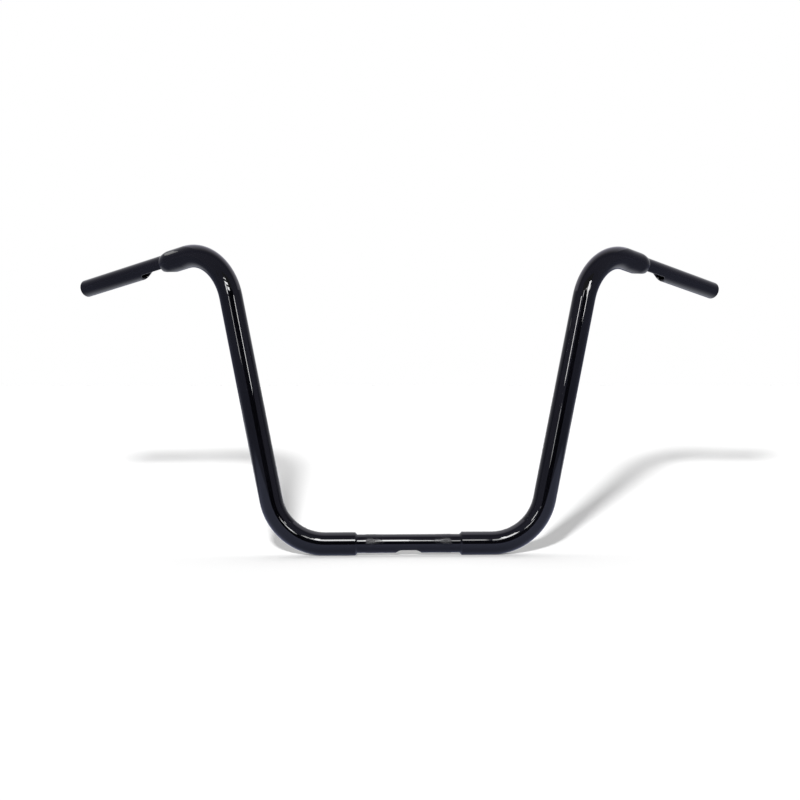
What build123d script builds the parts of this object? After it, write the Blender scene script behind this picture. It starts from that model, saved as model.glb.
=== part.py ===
from build123d import *
import os
from math import cos, radians, sin

os.makedirs("parts", exist_ok=True)

# Ape hanger handlebar, in mm: x is across the motorbike, +y towards the rider, +z up.
# The origin is the middle of the clamp tube. The rider's left is +x.

# tube sizes
riser_diameter = 31.75
tube_diameter = 25.4
tube_wall = 2.4
spigot_relief = 0.25
sleeve_clearance = 0.1

# the bends of one side, given by the corners of its centreline
base_half_width = 176.0
base_bend_radius = 75.0
riser_length = 413.5
riser_splay = 11.0
top_bend_radius = 69.5
grip_pull_back = 39.5
grip_drop = 8.8

# clamp section
clamp_width = 141.0
spigot_length = 36.0
riser_end_chamfer = 2.6
clamp_slot_length = 35.0
clamp_slot_width = 16.0

# grip ends, measured along the grip from the top corner
shoulder_at = 112.0
shoulder_taper = 14.0
shoulder_lip = 0.5
grip_length = 178.0
tube_end_chamfer = 0.8

# wiring slot under each grip, from the shoulder outwards, turned a little towards the rider
grip_slot_start = 93.0
grip_slot_end = 163.0
grip_slot_width = 19.0
grip_slot_turn = 18.0
slot_edge_round = 1.2

# sizes that follow from those above
riser_radius = riser_diameter / 2
tube_radius = tube_diameter / 2
tube_bore_radius = tube_radius - tube_wall
spigot_radius = tube_radius - spigot_relief
riser_bore_radius = spigot_radius + sleeve_clearance
lip_radius = tube_radius + shoulder_lip
step_at = clamp_width / 2

# the centreline of the rider's left side
splay = radians(riser_splay)
pull = radians(grip_pull_back)
drop = radians(grip_drop)
riser_way = Vector(sin(splay), 0, cos(splay))
grip_way = Vector(cos(drop) * cos(pull), cos(drop) * sin(pull), -sin(drop))
step_point = Vector(step_at, 0, 0)
base_corner = Vector(base_half_width, 0, 0)
top_corner = base_corner + riser_way * riser_length
shoulder_point = top_corner + grip_way * shoulder_at
spigot_point = shoulder_point - grip_way * spigot_length
grip_end_point = shoulder_point + grip_way * grip_length

# the wiring slots are cut from the axis of the tube outwards
down = Vector(0, 0, -1)
under_grip = down - grip_way * down.dot(grip_way)
slot_way = under_grip.rotate(Axis((0, 0, 0), grip_way), grip_slot_turn)
slot_middle = top_corner + grip_way * ((grip_slot_start + grip_slot_end) / 2)
slot_length = grip_slot_end - grip_slot_start
clamp_slot_plane = Plane(origin=(0, 0, 0), x_dir=(1, 0, 0), z_dir=down)
grip_slot_plane = Plane(origin=slot_middle, x_dir=grip_way, z_dir=slot_way)

# planes square to the tubes, and one along the grip for the shape of the shoulder
clamp_plane = Plane(origin=(0, 0, 0), x_dir=(0, 1, 0), z_dir=(1, 0, 0))
step_plane = Plane(origin=step_point, x_dir=(0, 1, 0), z_dir=(1, 0, 0))
spigot_plane = Plane(origin=spigot_point, x_dir=-slot_way, z_dir=grip_way)
shoulder_plane = Plane(origin=shoulder_point, x_dir=grip_way, z_dir=slot_way)

# Clamp tube, held in the clamp of the motorbike. Its turned ends go into the risers.
with BuildPart() as clamp_tube:
    with BuildSketch(clamp_plane):
        Circle(tube_radius)
        Circle(tube_bore_radius, mode=Mode.SUBTRACT)
    extrude(amount=step_at + spigot_length, both=True)
    with BuildSketch(clamp_slot_plane):
        SlotOverall(clamp_slot_length, clamp_slot_width)
    extrude(amount=riser_diameter, mode=Mode.SUBTRACT)
    outside = clamp_tube.faces().sort_by(SortBy.AREA)[-1]
    fillet(outside.inner_wires().edges(), slot_edge_round)
    with BuildSketch(step_plane, clamp_plane.offset(-step_at - spigot_length)):
        Circle(riser_radius)
        Circle(spigot_radius, mode=Mode.SUBTRACT)
    extrude(amount=spigot_length, mode=Mode.SUBTRACT)
clamp_tube.part.label = "clamp_tube"
export_step(clamp_tube.part, "parts/clamp_tube.step")

# Riser, bent twice from one fat tube, with a tapered shoulder where the grip leaves it.
with BuildPart() as left_riser_tube:
    with BuildLine() as riser_line:
        FilletPolyline(
            step_point,
            base_corner,
            top_corner,
            shoulder_point,
            radius=(base_bend_radius, top_bend_radius),
        )
    with BuildSketch(step_plane):
        Circle(riser_radius)
        Circle(riser_bore_radius, mode=Mode.SUBTRACT)
    sweep(path=riser_line.line)
    with BuildSketch(shoulder_plane):
        with BuildLine():
            TangentArc((-shoulder_taper, riser_radius), (0, lip_radius), tangent=(1, 0))
            Polyline(
                (0, lip_radius),
                (riser_diameter, lip_radius),
                (riser_diameter, riser_diameter),
                (-shoulder_taper, riser_diameter),
                (-shoulder_taper, riser_radius),
            )
        make_face()
    revolve(axis=Axis(shoulder_point, grip_way), mode=Mode.SUBTRACT)
    with BuildSketch(grip_slot_plane):
        SlotOverall(slot_length, grip_slot_width)
    extrude(amount=riser_diameter, mode=Mode.SUBTRACT)
    base_end = left_riser_tube.edges().group_by(Axis.X)[0]
    chamfer(base_end.sort_by(SortBy.LENGTH)[-1], riser_end_chamfer)
left_riser_tube.part.label = "left_riser_tube"
export_step(left_riser_tube.part, "parts/left_riser_tube.step")

# Grip tube, its turned end seated in the riser, slotted underneath for the wiring.
with BuildPart() as left_grip_tube:
    with BuildSketch(spigot_plane):
        Circle(tube_radius)
        Circle(tube_bore_radius, mode=Mode.SUBTRACT)
    extrude(amount=spigot_length + grip_length)
    with BuildSketch(grip_slot_plane):
        SlotOverall(slot_length, grip_slot_width)
    extrude(amount=riser_diameter, mode=Mode.SUBTRACT)
    outside = left_grip_tube.faces().sort_by(SortBy.AREA)[-1]
    fillet(outside.inner_wires().edges(), slot_edge_round)
    with BuildSketch(spigot_plane):
        Circle(riser_radius)
        Circle(spigot_radius, mode=Mode.SUBTRACT)
    extrude(amount=spigot_length, mode=Mode.SUBTRACT)
    end_face = left_grip_tube.faces().sort_by_distance(grip_end_point)[0]
    chamfer(end_face.edges(), tube_end_chamfer)
left_grip_tube.part.label = "left_grip_tube"
export_step(left_grip_tube.part, "parts/left_grip_tube.step")

# The rider's right side mirrors the left.
with BuildPart() as right_riser_tube:
    mirror(left_riser_tube.part, about=Plane.YZ)
right_riser_tube.part.label = "right_riser_tube"
export_step(right_riser_tube.part, "parts/right_riser_tube.step")

with BuildPart() as right_grip_tube:
    mirror(left_grip_tube.part, about=Plane.YZ)
right_grip_tube.part.label = "right_grip_tube"
export_step(right_grip_tube.part, "parts/right_grip_tube.step")
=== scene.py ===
from math import cos, pi, sin

import bmesh
import bpy
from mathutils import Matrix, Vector


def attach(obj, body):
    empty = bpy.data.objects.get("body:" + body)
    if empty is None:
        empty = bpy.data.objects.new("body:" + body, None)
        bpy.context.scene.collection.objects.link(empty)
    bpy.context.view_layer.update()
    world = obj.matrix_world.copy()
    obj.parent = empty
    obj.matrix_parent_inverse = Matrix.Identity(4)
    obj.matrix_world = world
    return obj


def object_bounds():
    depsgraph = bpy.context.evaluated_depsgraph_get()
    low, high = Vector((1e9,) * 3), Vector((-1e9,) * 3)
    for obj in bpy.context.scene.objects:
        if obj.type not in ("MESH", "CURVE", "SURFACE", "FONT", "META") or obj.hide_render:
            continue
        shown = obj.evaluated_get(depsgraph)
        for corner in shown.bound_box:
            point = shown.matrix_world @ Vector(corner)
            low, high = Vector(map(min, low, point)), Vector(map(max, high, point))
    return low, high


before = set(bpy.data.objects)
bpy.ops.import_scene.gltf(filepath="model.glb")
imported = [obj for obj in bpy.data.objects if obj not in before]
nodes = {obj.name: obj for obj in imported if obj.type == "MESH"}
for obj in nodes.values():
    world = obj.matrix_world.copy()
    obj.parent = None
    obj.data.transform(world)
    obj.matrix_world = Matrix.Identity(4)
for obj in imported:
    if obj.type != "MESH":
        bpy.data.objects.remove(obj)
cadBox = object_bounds()
scene = bpy.context.scene
mm = 0.001
floorHeight = cadBox[0][2]

for obj in nodes.values():
    for poly in obj.data.polygons:
        poly.use_smooth = True


def addNode(tree, kind, **values):
    node = tree.nodes.new(kind)
    for name, value in values.items():
        setattr(node, name, value)
    return node


def addNoise(tree, where, scale, detail):
    noise = addNode(tree, "ShaderNodeTexNoise")
    noise.inputs["Scale"].default_value = scale
    noise.inputs["Detail"].default_value = detail
    tree.links.new(where.outputs["Object"], noise.inputs["Vector"])
    return noise


def fillRamp(ramp, steps):
    while len(ramp.elements) < len(steps):
        ramp.elements.new(0.5)
    for element, (place, colour) in zip(ramp.elements, steps):
        element.position = place
        element.color = colour


# gloss black paint: near-black with a little navy, a faint orange peel and a few duller patches
paint = {
    "ior": 1.5,
    "tints": [(0.35, (0.0006, 0.0006, 0.0010, 1)), (0.7, (0.0020, 0.0020, 0.0030, 1))],
    "tintScale": 9.0,
    "tintDetail": 4,
    "glossiest": 0.02,
    "dullest": 0.06,
    "dullFrom": 0.35,
    "dullTo": 0.75,
    "dullScale": 60.0,
    "dullDetail": 3,
    "peelScale": 420.0,
    "peelDetail": 1,
    "peelStrength": 0.02,
    "peelHeight": 0.2 * mm,
}


def makePaint(name, look):
    mat = bpy.data.materials.new(name)
    mat.use_nodes = True
    tree = mat.node_tree
    shader = tree.nodes["Principled BSDF"]
    shader.inputs["IOR"].default_value = look["ior"]
    where = addNode(tree, "ShaderNodeTexCoord")

    patches = addNoise(tree, where, look["tintScale"], look["tintDetail"])
    tint = addNode(tree, "ShaderNodeValToRGB")
    fillRamp(tint.color_ramp, look["tints"])
    tree.links.new(patches.outputs["Fac"], tint.inputs["Fac"])
    tree.links.new(tint.outputs["Color"], shader.inputs["Base Color"])

    dull = addNoise(tree, where, look["dullScale"], look["dullDetail"])
    sheen = addNode(tree, "ShaderNodeMapRange")
    sheen.inputs["From Min"].default_value = look["dullFrom"]
    sheen.inputs["From Max"].default_value = look["dullTo"]
    sheen.inputs["To Min"].default_value = look["glossiest"]
    sheen.inputs["To Max"].default_value = look["dullest"]
    tree.links.new(dull.outputs["Fac"], sheen.inputs["Value"])
    tree.links.new(sheen.outputs["Result"], shader.inputs["Roughness"])

    peel = addNoise(tree, where, look["peelScale"], look["peelDetail"])
    bump = addNode(tree, "ShaderNodeBump")
    bump.inputs["Strength"].default_value = look["peelStrength"]
    bump.inputs["Distance"].default_value = look["peelHeight"]
    tree.links.new(peel.outputs["Fac"], bump.inputs["Height"])
    tree.links.new(bump.outputs["Normal"], shader.inputs["Normal"])
    return mat


glossBlack = makePaint("gloss_black", paint)
for obj in nodes.values():
    obj.data.materials.clear()
    obj.data.materials.append(glossBlack)
print("paint on", len(nodes), "nodes")


# diamond knurl on the clamp tube, rounded by the paint, deep at the outer end and fading out inwards
knurl = {
    "radius": 12.7 * mm,
    "inner": 36.0 * mm,
    "outer": 58.5 * mm,
    "ridges": 72,
    "steps": 6,  # mesh steps to a ridge
    "height": 0.15 * mm,
    "lift": 0.1,  # of the valleys above the tube, as a share of the height
    "sink": 0.05 * mm,  # of the two end rings below it
    "fade": 0.65,
    "endRows": 3,
    "glossiest": 0.16,
    "dullest": 0.26,
}


def makeKnurl(name, side):
    ridge = 2 * pi * knurl["radius"] / knurl["ridges"]
    length = knurl["outer"] - knurl["inner"]
    rows = round(length / ridge * knurl["steps"])
    columns = knurl["ridges"] * knurl["steps"]
    mesh = bmesh.new()
    rings = []
    for i in range(rows + 1):
        along = i / rows
        x = side * (knurl["inner"] + along * length)
        depth = min(1, along / knurl["fade"], (1 - along) * rows / knurl["endRows"])
        ring = []
        for j in range(columns):
            turn = j / knurl["steps"]
            run = i / knurl["steps"]
            peak = 0.5 + 0.5 * cos(2 * pi * turn) * cos(2 * pi * run)
            r = knurl["radius"] + depth * knurl["height"] * (peak + knurl["lift"])
            if depth == 0:
                r = knurl["radius"] - knurl["sink"]
            angle = 2 * pi * j / columns
            ring.append(mesh.verts.new((x, r * cos(angle), r * sin(angle))))
        rings.append(ring)
    for a, b in zip(rings, rings[1:]):
        for j in range(columns):
            k = (j + 1) % columns
            mesh.faces.new((a[j], b[j], b[k], a[k]))
    bmesh.ops.recalc_face_normals(mesh, faces=mesh.faces)
    for face in mesh.faces:
        face.smooth = True
    data = bpy.data.meshes.new(name)
    mesh.to_mesh(data)
    mesh.free()
    piece = bpy.data.objects.new(name, data)
    scene.collection.objects.link(piece)
    data.materials.append(knurlBlack)
    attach(piece, "root")


knurlBlack = makePaint("knurl_black", {**paint, "glossiest": knurl["glossiest"], "dullest": knurl["dullest"]})
makeKnurl("left_knurl", 1)
makeKnurl("right_knurl", -1)
print("knurl bands made")


# white floor: what the camera sees of it is made up to white, apart from the shadow
stage = {
    "size": 80.0,
    "albedo": 1.0,
    "white": 1.03,
    # painted reflection: the paint sees the floor in this dim navy and in two painted pools of light, while
    # the camera sees it white
    "mirrored": (0.19, 0.20, 0.29, 1),  # what the paint mirrors of it, outside the pools of light
    "paintedPools": [
        {
            "centre": (0.05, -0.25),
            "scale": (1.0, 1.6),
            "near": 0.68,
            "far": 0.92,
            "colour": (0.50, 0.54, 0.78, 1),
        },
        {
            "centre": (0.0, 0.75),
            "scale": (0.33, 1.0),
            "near": 0.33,
            "far": 0.62,
            "colour": (0.72, 0.74, 0.84, 1),
        },
    ],
    "shade": 0.55,  # how much of the white the key light gives
    "backLight": 0.95,
    "frontLight": 0.05,
}


# painted pools of light, which only the paint mirrors
def addPaintedPools(tree):
    where = addNode(tree, "ShaderNodeNewGeometry")
    outside = None
    for pool in stage["paintedPools"]:
        x, y = pool["centre"]
        wide, deep = pool["scale"]
        centre = addNode(tree, "ShaderNodeMapping")
        centre.inputs["Location"].default_value = (-x * wide, -y * deep, 0)
        centre.inputs["Scale"].default_value = (wide, deep, 0)
        away = addNode(tree, "ShaderNodeVectorMath", operation="LENGTH")
        reach = addNode(tree, "ShaderNodeMapRange", interpolation_type="SMOOTHSTEP")
        reach.inputs["From Min"].default_value = pool["near"]
        reach.inputs["From Max"].default_value = pool["far"]
        tint = addNode(tree, "ShaderNodeMix", data_type="RGBA")
        tint.inputs["A"].default_value = pool["colour"]
        tint.inputs["B"].default_value = stage["mirrored"]
        if outside:
            tree.links.new(outside.outputs["Result"], tint.inputs["B"])
        tree.links.new(where.outputs["Position"], centre.inputs["Vector"])
        tree.links.new(centre.outputs["Vector"], away.inputs[0])
        tree.links.new(away.outputs["Value"], reach.inputs["Value"])
        tree.links.new(reach.outputs["Result"], tint.inputs["Factor"])
        outside = tint
    return outside


def makeFloor():
    bpy.ops.mesh.primitive_plane_add(size=stage["size"], location=(0, 0, floorHeight))
    plane = bpy.context.object
    plane.name = "floor"
    mat = bpy.data.materials.new("white_floor")
    mat.use_nodes = True
    tree = mat.node_tree
    tree.nodes.clear()
    out = addNode(tree, "ShaderNodeOutputMaterial")
    both = addNode(tree, "ShaderNodeAddShader")
    path = addNode(tree, "ShaderNodeLightPath")

    # glossy rays see the floor with its painted pools, a painted reflection; other rays see the plain albedo
    paperAndReflection = addNode(tree, "ShaderNodeMix", data_type="RGBA")
    paperAndReflection.inputs["A"].default_value = (stage["albedo"],) * 3 + (1,)
    matte = addNode(tree, "ShaderNodeBsdfDiffuse")
    tree.links.new(addPaintedPools(tree).outputs["Result"], paperAndReflection.inputs["B"])
    tree.links.new(path.outputs["Is Glossy Ray"], paperAndReflection.inputs["Factor"])
    tree.links.new(paperAndReflection.outputs["Result"], matte.inputs["Color"])

    lit = stage["albedo"] * (stage["backLight"] + stage["frontLight"]) / 2 + stage["shade"]
    glow = addNode(tree, "ShaderNodeEmission")
    glow.inputs["Color"].default_value = (max(0, stage["white"] - lit),) * 3 + (1,)
    tree.links.new(path.outputs["Is Camera Ray"], glow.inputs["Strength"])
    tree.links.new(matte.outputs["BSDF"], both.inputs[0])
    tree.links.new(glow.outputs["Emission"], both.inputs[1])
    tree.links.new(both.outputs["Shader"], out.inputs["Surface"])
    plane.data.materials.append(mat)


# key light by the camera, which throws the shadow back
key = {
    "at": (-0.232, -1.611, 0.724),
    "radius": 0.055,
}


def makeKey():
    data = bpy.data.lights.new("key", "POINT")
    data.shadow_soft_size = key["radius"]
    height = key["at"][2] - floorHeight
    data.energy = 4 * pi * pi * stage["shade"] / (stage["albedo"] * height)
    lamp = bpy.data.objects.new("key", data)
    lamp.location = key["at"]
    lamp.visible_glossy = False
    scene.collection.objects.link(lamp)
    # stronger with distance, which makes up for the slant, so the floor is lit evenly
    data.use_nodes = True
    tree = data.node_tree
    even = addNode(tree, "ShaderNodeLightFalloff")
    path = addNode(tree, "ShaderNodeLightPath")
    tree.links.new(path.outputs["Ray Length"], even.inputs["Strength"])
    tree.links.new(even.outputs["Constant"], tree.nodes["Emission"].inputs["Strength"])


makeFloor()
makeKey()
print("floor and key light made")


# cards that only the paint mirrors: they glow or darken without lighting or shading anything, painted
# highlights and painted dark reflections
def addCard(name, corners, faces, glow):
    data = bpy.data.meshes.new(name)
    data.from_pydata(corners, [], faces)
    mat = bpy.data.materials.new(name)
    mat.use_nodes = True
    shader = mat.node_tree.nodes["Principled BSDF"]
    shader.inputs["Base Color"].default_value = (0, 0, 0, 1)
    shader.inputs["Specular IOR Level"].default_value = 0
    shader.inputs["Emission Color"].default_value = (1, 1, 1, 1)
    shader.inputs["Emission Strength"].default_value = glow
    mat.cycles.emission_sampling = "NONE"
    data.materials.append(mat)
    card = bpy.data.objects.new(name, data)
    card.visible_camera = False
    card.visible_diffuse = False
    card.visible_shadow = False
    scene.collection.objects.link(card)
    return card


# glowing strips that light nothing: painted highlights, the long ones on the legs, the bends, the base and
# one shoulder
paintedStrips = {
    "right_strip": {"at": (0.91, -1.84, 0.57), "to": (-0.2, 0, 0.3), "size": (0.14, 0.44), "glow": 22.0},
    "left_strip": {"at": (-0.85, -1.60, 0.66), "to": (0.2, 0, 0.3), "size": (0.14, 0.34), "glow": 21.0},
    "far_strip": {"at": (-2.15, -5.6, 0.39), "to": (0, 0, 0.2), "size": (0.32, 0.62), "glow": 11.0},
    "top_strip": {"at": (-0.163, -1.0, 0.92), "to": (-0.163, 0, 0), "size": (0.235, 0.33), "glow": 18.0},
    "middle_strip": {"at": (0.012, -1.0, 0.98), "to": (0.012, 0, 0), "size": (0.115, 0.40), "glow": 22.0},
    "side_strip": {"at": (0.097, -1.0, 0.88), "to": (0.097, 0, 0), "size": (0.055, 0.26), "glow": 14.0},
    "end_strip": {"at": (0.187, -1.0, 0.78), "to": (0.187, 0, 0), "size": (0.125, 0.24), "glow": 8.5},
    "left_arc": {"at": (-1.85, -5.9, 2.05), "to": (0.17, 0, 0), "size": (0.45, 1.2), "glow": 12.0},
    "right_arc": {"at": (1.73, -5.9, 1.5), "to": (-0.17, 0, 0), "size": (0.6, 1.4), "glow": 18.0},
    "shoulder_strip": {
        "at": (-0.436, 0.113, 0.485), "to": (-0.331, 0.047, 0.401), "size": (0.064, 0.022), "glow": 1.9,
    },
}

# small glowing cards close by: painted sparkles where the legs turn into the top bends
paintedSparks = {
    "left_spark": {"at": (-0.267, -0.14, 0.404), "to": (-0.305, 0, 0.404), "size": (0.06, 0.013), "glow": 20},
    "low_spark": {"at": (-0.246, -0.14, 0.381), "to": (-0.284, 0, 0.381), "size": (0.036, 0.016), "glow": 20},
    "high_spark": {"at": (-0.272, -0.14, 0.428), "to": (-0.31, 0, 0.428), "size": (0.044, 0.008), "glow": 14},
    "right_spark": {"at": (0.287, -0.14, 0.396), "to": (0.323, 0, 0.396), "size": (0.04, 0.052), "glow": 21},
    "wide_spark": {"at": (0.292, -0.142, 0.383), "to": (0.328, 0, 0.383), "size": (0.08, 0.02), "glow": 10},
}

# dull cards that keep a glowing strip or a spark off one place: painted dark reflections
paintedDarkFlags = {
    "left_flag": {"at": (-0.225, -0.15, 0.444), "to": (-0.225, 0, 0.444), "size": (0.12, 0.092), "glow": 0.2},
    "right_flag": {"at": (0.222, -0.15, 0.444), "to": (0.222, 0, 0.444), "size": (0.18, 0.092), "glow": 0.2},
    "low_flag": {"at": (-0.182, -0.15, 0.295), "to": (-0.23, 0, 0.275), "size": (0.044, 0.2), "glow": 0},
    "slot_flag": {
        "at": (-0.297, -0.041, 0.378), "to": (-0.372, 0.107, 0.374), "size": (0.026, 0.014), "glow": 0.2,
    },
}


def hangCard(name, facts):
    wide, tall = facts["size"][0] / 2, facts["size"][1] / 2
    corners = [(-wide, -tall, 0), (wide, -tall, 0), (wide, tall, 0), (-wide, tall, 0)]
    card = addCard(name, corners, [(0, 1, 2, 3)], facts["glow"])
    card.location = facts["at"]
    toward = Vector(facts["to"]) - Vector(facts["at"])
    card.rotation_euler = toward.to_track_quat("Z", "Y").to_euler()


# black sheet on the floor in front, turned up at both ends, that only the paint mirrors: painted dark
# reflections, the dark bands along the legs and the base
paintedDarkSheet = {
    "gap": 1 * mm,  # above the floor
    "near": -0.8,
    "nearTop": [(-0.21, 0.11), (-0.02, 0.19), (-0.02, 0.12), (0.15, 0.12), (0.15, 0.26), (0.42, 0.375)],
    "far": -6.0,
    "farTop": [(-1.33, 3.2), (1.72, 3.2), (1.72, 0.8), (2.6, 0.8)],
}


def hangingEnd(y, topEdge):
    low = floorHeight + paintedDarkSheet["gap"]
    left, right = topEdge[0][0], topEdge[-1][0]
    return [(left, y, low), (right, y, low)] + [(x, y, z) for x, z in reversed(topEdge)]


def makePaintedDarkSheet():
    near = hangingEnd(paintedDarkSheet["near"], paintedDarkSheet["nearTop"])
    far = hangingEnd(paintedDarkSheet["far"], paintedDarkSheet["farTop"])
    lying = [near[0], near[1], far[1], far[0]]
    corners = []
    faces = []
    for panel in (near, far, lying):
        start = len(corners)
        corners += panel
        faces.append(range(start, len(corners)))
    addCard("painted_dark_sheet", corners, faces, 0)


# glowing sheet over the bar that lights nothing, brighter towards the back: the painted highlight on the top
# edges
paintedTopLight = {
    "left": -0.47,
    "right": 0.52,
    "front": 0.02,
    "back": 0.6,
    "height": 0.657,
    "glow": 1.265,
    "tint": (0.873, 0.855, 1.0),
    "fade": [
        (0, 0.235),
        (0.043, 0.365),
        (0.095, 0.52),
        (0.155, 0.70),
        (0.233, 0.76),
        (0.345, 0.81),
        (0.52, 0.89),
        (1, 1),
    ],
}


def makePaintedTopLight():
    high = paintedTopLight["height"]
    corners = [
        (paintedTopLight["left"], paintedTopLight["front"], high),
        (paintedTopLight["right"], paintedTopLight["front"], high),
        (paintedTopLight["right"], paintedTopLight["back"], high),
        (paintedTopLight["left"], paintedTopLight["back"], high),
    ]
    card = addCard("paintedTopLight", corners, [(0, 1, 2, 3)], paintedTopLight["glow"])
    tree = card.data.materials[0].node_tree
    where = addNode(tree, "ShaderNodeTexCoord")
    axes = addNode(tree, "ShaderNodeSeparateXYZ")
    fade = addNode(tree, "ShaderNodeValToRGB")
    red, green, blue = paintedTopLight["tint"]
    steps = [(place, (level * red, level * green, level * blue, 1)) for place, level in paintedTopLight["fade"]]
    fillRamp(fade.color_ramp, steps)
    tree.links.new(where.outputs["Generated"], axes.inputs["Vector"])
    tree.links.new(axes.outputs["Y"], fade.inputs["Fac"])
    tree.links.new(fade.outputs["Color"], tree.nodes["Principled BSDF"].inputs["Emission Color"])


for group in (paintedStrips, paintedSparks, paintedDarkFlags):
    for name, facts in group.items():
        hangCard(name, facts)
makePaintedDarkSheet()
makePaintedTopLight()
print("cards made:", ", ".join([*paintedStrips, *paintedSparks, *paintedDarkFlags, "painted_dark_sheet", "paintedTopLight"]))


# the room: white to the camera, dim to the paint, and a soft light that comes mostly from behind; the walls
# that the paint mirrors light nothing and are a painted reflection
room = {
    "walls": [  # from the front of the room, by the sides, to the paper behind the bar
        (0.45, (0.25, 0.25, 0.35, 1)),
        (0.53, (0.18, 0.18, 0.27, 1)),
        (0.60, (0.20, 0.20, 0.28, 1)),
        (0.70, (0.27, 0.27, 0.34, 1)),
        (0.80, (0.39, 0.39, 0.46, 1)),
        (0.90, (0.57, 0.57, 0.62, 1)),
        (1.00, (0.86, 0.86, 0.89, 1)),
    ],
    "lean": (0, 1, 0.25),
    "blend": 0.1,  # half the width over which the front light turns into the back light
}


def makeRoom():
    world = bpy.data.worlds.new("studio")
    scene.world = world
    world.use_nodes = True
    tree = world.node_tree
    tree.nodes.clear()
    out = addNode(tree, "ShaderNodeOutputWorld")
    path = addNode(tree, "ShaderNodeLightPath")
    where = addNode(tree, "ShaderNodeTexCoord")

    lean = addNode(tree, "ShaderNodeVectorMath", operation="DOT_PRODUCT")
    lean.inputs[1].default_value = room["lean"]
    behind = addNode(tree, "ShaderNodeMapRange")
    behind.inputs["From Min"].default_value = -1
    walls = addNode(tree, "ShaderNodeValToRGB")
    fillRamp(walls.color_ramp, room["walls"])
    tree.links.new(where.outputs["Generated"], lean.inputs[0])
    tree.links.new(lean.outputs["Value"], behind.inputs["Value"])
    tree.links.new(behind.outputs["Result"], walls.inputs["Fac"])

    axes = addNode(tree, "ShaderNodeSeparateXYZ")
    depth = addNode(tree, "ShaderNodeMapRange", interpolation_type="SMOOTHSTEP")
    depth.inputs["From Min"].default_value = -room["blend"]
    depth.inputs["From Max"].default_value = room["blend"]
    soft = addNode(tree, "ShaderNodeMix", data_type="RGBA")
    soft.inputs["A"].default_value = (stage["frontLight"],) * 3 + (1,)
    soft.inputs["B"].default_value = (stage["backLight"],) * 3 + (1,)
    tree.links.new(where.outputs["Generated"], axes.inputs["Vector"])
    tree.links.new(axes.outputs["Y"], depth.inputs["Value"])
    tree.links.new(depth.outputs["Result"], soft.inputs["Factor"])

    # glossy rays see the walls, a painted reflection; other rays see the soft light
    gloss = addNode(tree, "ShaderNodeBackground")
    plain = addNode(tree, "ShaderNodeBackground")
    white = addNode(tree, "ShaderNodeBackground")
    white.inputs["Color"].default_value = (1, 1, 1, 1)
    first = addNode(tree, "ShaderNodeMixShader")
    second = addNode(tree, "ShaderNodeMixShader")
    tree.links.new(walls.outputs["Color"], gloss.inputs["Color"])
    tree.links.new(soft.outputs["Result"], plain.inputs["Color"])
    tree.links.new(path.outputs["Is Glossy Ray"], first.inputs["Fac"])
    tree.links.new(plain.outputs["Background"], first.inputs[1])
    tree.links.new(gloss.outputs["Background"], first.inputs[2])
    tree.links.new(path.outputs["Is Camera Ray"], second.inputs["Fac"])
    tree.links.new(first.outputs["Shader"], second.inputs[1])
    tree.links.new(white.outputs["Background"], second.inputs[2])
    tree.links.new(second.outputs["Shader"], out.inputs["Surface"])


makeRoom()
print("room made")


# camera from the front, a little left of the middle and almost level
view = {
    "at": (-0.07576, -1.59845, 0.22574),
    "forward": (0.04009, 0.99903, -0.01810),
    "lens": 52.607,
    "sensor": 36.0,
}


def makeCamera():
    data = bpy.data.cameras.new("camera")
    data.lens = view["lens"]
    data.sensor_width = view["sensor"]
    camera = bpy.data.objects.new("camera", data)
    camera.location = view["at"]
    camera.rotation_euler = Vector(view["forward"]).to_track_quat("-Z", "Y").to_euler()
    scene.collection.objects.link(camera)
    scene.camera = camera


makeCamera()
scene.view_settings.view_transform = "Standard"
print("camera made")
